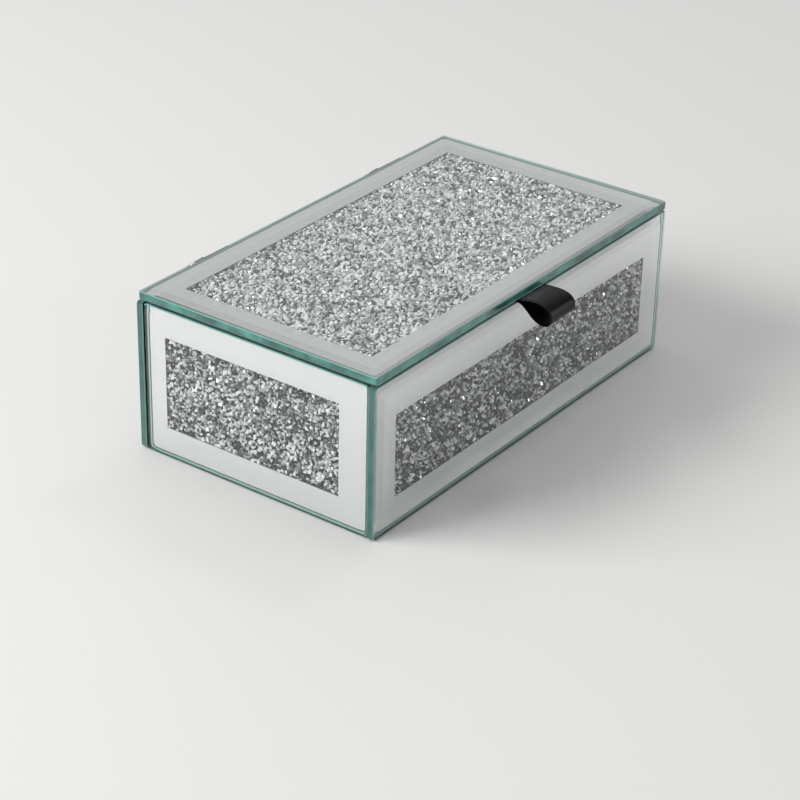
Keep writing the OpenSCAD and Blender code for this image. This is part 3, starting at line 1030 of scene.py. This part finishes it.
def make_surroundings():
    """Soft room light that rises with height, with one paler wall and a bright ceiling."""
    world = bpy.data.worlds.new("studio")
    bpy.context.scene.world = world
    world.use_nodes = True
    sheet = NodeSheet(world.node_tree)
    direction = sheet.add("ShaderNodeTexCoord").outputs["Generated"]
    upward = sheet.add("ShaderNodeSeparateXYZ", {0: direction}).outputs["Z"]
    ramp = sheet.add("ShaderNodeValToRGB", {"Fac": upward})
    for element in list(ramp.color_ramp.elements)[1:]:
        ramp.color_ramp.elements.remove(element)
    for number, (height, value) in enumerate(ROOM_HEIGHTS):
        element = ramp.color_ramp.elements.new(height) if number else ramp.color_ramp.elements[0]
        element.position = height
        element.color = (value, value, value, 1)
    toward = sheet.add("ShaderNodeVectorMath", {0: direction, 1: PALE_WALL}, operation="DOT_PRODUCT")
    wall = sheet.remap(
        toward.outputs["Value"], (0.9, 0.985), (0.0, 0.26), interpolation_type="SMOOTHSTEP")
    values = {"Factor": 1.0, COLOUR_A: ramp.outputs["Color"], COLOUR_B: wall}
    both = sheet.add("ShaderNodeMix", values, data_type="RGBA", blend_type="ADD")
    sheet.feed(world.node_tree.nodes["Background"], {"Color": both.outputs[COLOUR_RESULT]})


def make_floor(settings):
    """The plain floor that the box stands on."""
    half = 4.0
    corners = [(half * su, half * sv, 0) for su, sv in CORNERS]
    mesh = mesh_from("floor", corners, [[0, 1, 2, 3]], (pale_floor(settings),))
    new_object("floor", mesh)


# ---------------------------------------------------------------- operators

class TRINKET_OT_stage(bpy.types.Operator):
    """Make the camera, the soft lights and the pale floor"""

    bl_idname = "trinket.stage"
    bl_label = "Stage"

    def execute(self, context):
        settings = context.scene.trinket_stage
        make_camera(settings)
        make_surroundings()
        make_floor(settings)
        middle = (0, 0, 0.03)
        key = make_soft_light("key", KEY_PLACE, middle, KEY_SIZE, settings.key_power, KEY_COLOUR)
        # The mirror glass shows the room, not the lamp, so that no view is lost in its glare.
        key.visible_glossy = key.visible_transmission = False
        for number, (place, size, share) in enumerate(GLINTS):
            make_soft_light(
                f"glint_{number + 1}", place, middle, (size, size), settings.glint_power * share, (1, 1, 1))
        context.scene.view_settings.view_transform = "Standard"
        return {"FINISHED"}


class TRINKET_OT_panes(bpy.types.Operator):
    """Make the five bevelled panes and the silver behind their borders"""

    bl_idname = "trinket.panes"
    bl_label = "Glass Panes"

    def execute(self, context):
        for side in SIDES:
            make_pane(side, context.scene.trinket_glass)
            make_silvering(side, context.scene.trinket_glass)
        return {"FINISHED"}


class TRINKET_OT_crushed_glass(bpy.types.Operator):
    """Fill the five pockets with crushed glass"""

    bl_idname = "trinket.crushed_glass"
    bl_label = "Crushed Glass"

    def execute(self, context):
        for side in SIDES:
            make_bed(side, context.scene.trinket_crystals)
        return {"FINISHED"}


class TRINKET_OT_lining(bpy.types.Operator):
    """Make the velvet cards, the base cushion and the lid's pad"""

    bl_idname = "trinket.lining"
    bl_label = "Velvet Lining"

    def execute(self, context):
        for node in PADS:
            make_pad(node, context.scene.trinket_velvet)
        return {"FINISHED"}


class TRINKET_OT_felt(bpy.types.Operator):
    """Make the felt sheet under the base"""

    bl_idname = "trinket.felt"
    bl_label = "Base Felt"

    def execute(self, context):
        make_felt(context.scene.trinket_velvet)
        return {"FINISHED"}


class TRINKET_OT_ribbon(bpy.types.Operator):
    """Make the satin ribbon pull"""

    bl_idname = "trinket.ribbon"
    bl_label = "Ribbon Pull"

    def execute(self, context):
        make_ribbon(context.scene.trinket_ribbon)
        return {"FINISHED"}


class TRINKET_OT_boards(bpy.types.Operator):
    """Finish the carcass boards and the lid's board"""

    bl_idname = "trinket.boards"
    bl_label = "Boards"

    def execute(self, context):
        for node in BOARDS:
            make_board(node, context.scene.trinket_board)
        return {"FINISHED"}


class TRINKET_OT_hinges(bpy.types.Operator):
    """Finish the hinge leaves, pins and screws"""

    bl_idname = "trinket.hinges"
    bl_label = "Hinges"

    def execute(self, context):
        settings = context.scene.trinket_metal
        for node in HINGES:
            make_hinge_part(node, settings)
        steel = wiped_metal("zinc_steel", settings.steel, 240.0, 0.25, 0.4)
        for node, body in (("hinge_box_screws", "box"), ("hinge_lid_screws", "lid")):
            mesh = refined_copy(node, settings.rounding / 2, steel, 1)
            add_piece(f"steel_{node}", mesh, body, node)
        return {"FINISHED"}


class TRINKET_PT_panel(bpy.types.Panel):
    """Lists the box's operators with their settings"""

    bl_label = "Trinket Box"
    bl_idname = "TRINKET_PT_panel"
    bl_space_type = "VIEW_3D"
    bl_region_type = "UI"
    bl_category = "Trinket Box"

    def draw(self, context):
        for operator, settings in PANEL_ROWS:
            column = self.layout.column(align=True)
            column.operator(operator)
            group = getattr(context.scene, settings)
            for name in group.bl_rna.properties.keys():
                if name not in {"rna_type", "name"}:
                    column.prop(group, name)


PANEL_ROWS = (
    ("trinket.stage", "trinket_stage"),
    ("trinket.panes", "trinket_glass"),
    ("trinket.crushed_glass", "trinket_crystals"),
    ("trinket.lining", "trinket_velvet"),
    ("trinket.felt", "trinket_velvet"),
    ("trinket.ribbon", "trinket_ribbon"),
    ("trinket.boards", "trinket_board"),
    ("trinket.hinges", "trinket_metal"),
)
CLASSES = (
    *SETTINGS.values(),
    TRINKET_OT_stage,
    TRINKET_OT_panes,
    TRINKET_OT_crushed_glass,
    TRINKET_OT_lining,
    TRINKET_OT_felt,
    TRINKET_OT_ribbon,
    TRINKET_OT_boards,
    TRINKET_OT_hinges,
    TRINKET_PT_panel,
)


def register():
    for cls in CLASSES:
        bpy.utils.register_class(cls)
    for name, group in SETTINGS.items():
        setattr(bpy.types.Scene, name, PointerProperty(type=group))


def unregister():
    for name in SETTINGS:
        delattr(bpy.types.Scene, name)
    for cls in reversed(CLASSES):
        bpy.utils.unregister_class(cls)


def main():
    register()
    for operator, _ in PANEL_ROWS:
        group, name = operator.split(".")
        getattr(getattr(bpy.ops, group), name)()


if __name__ == "__main__":
    main()
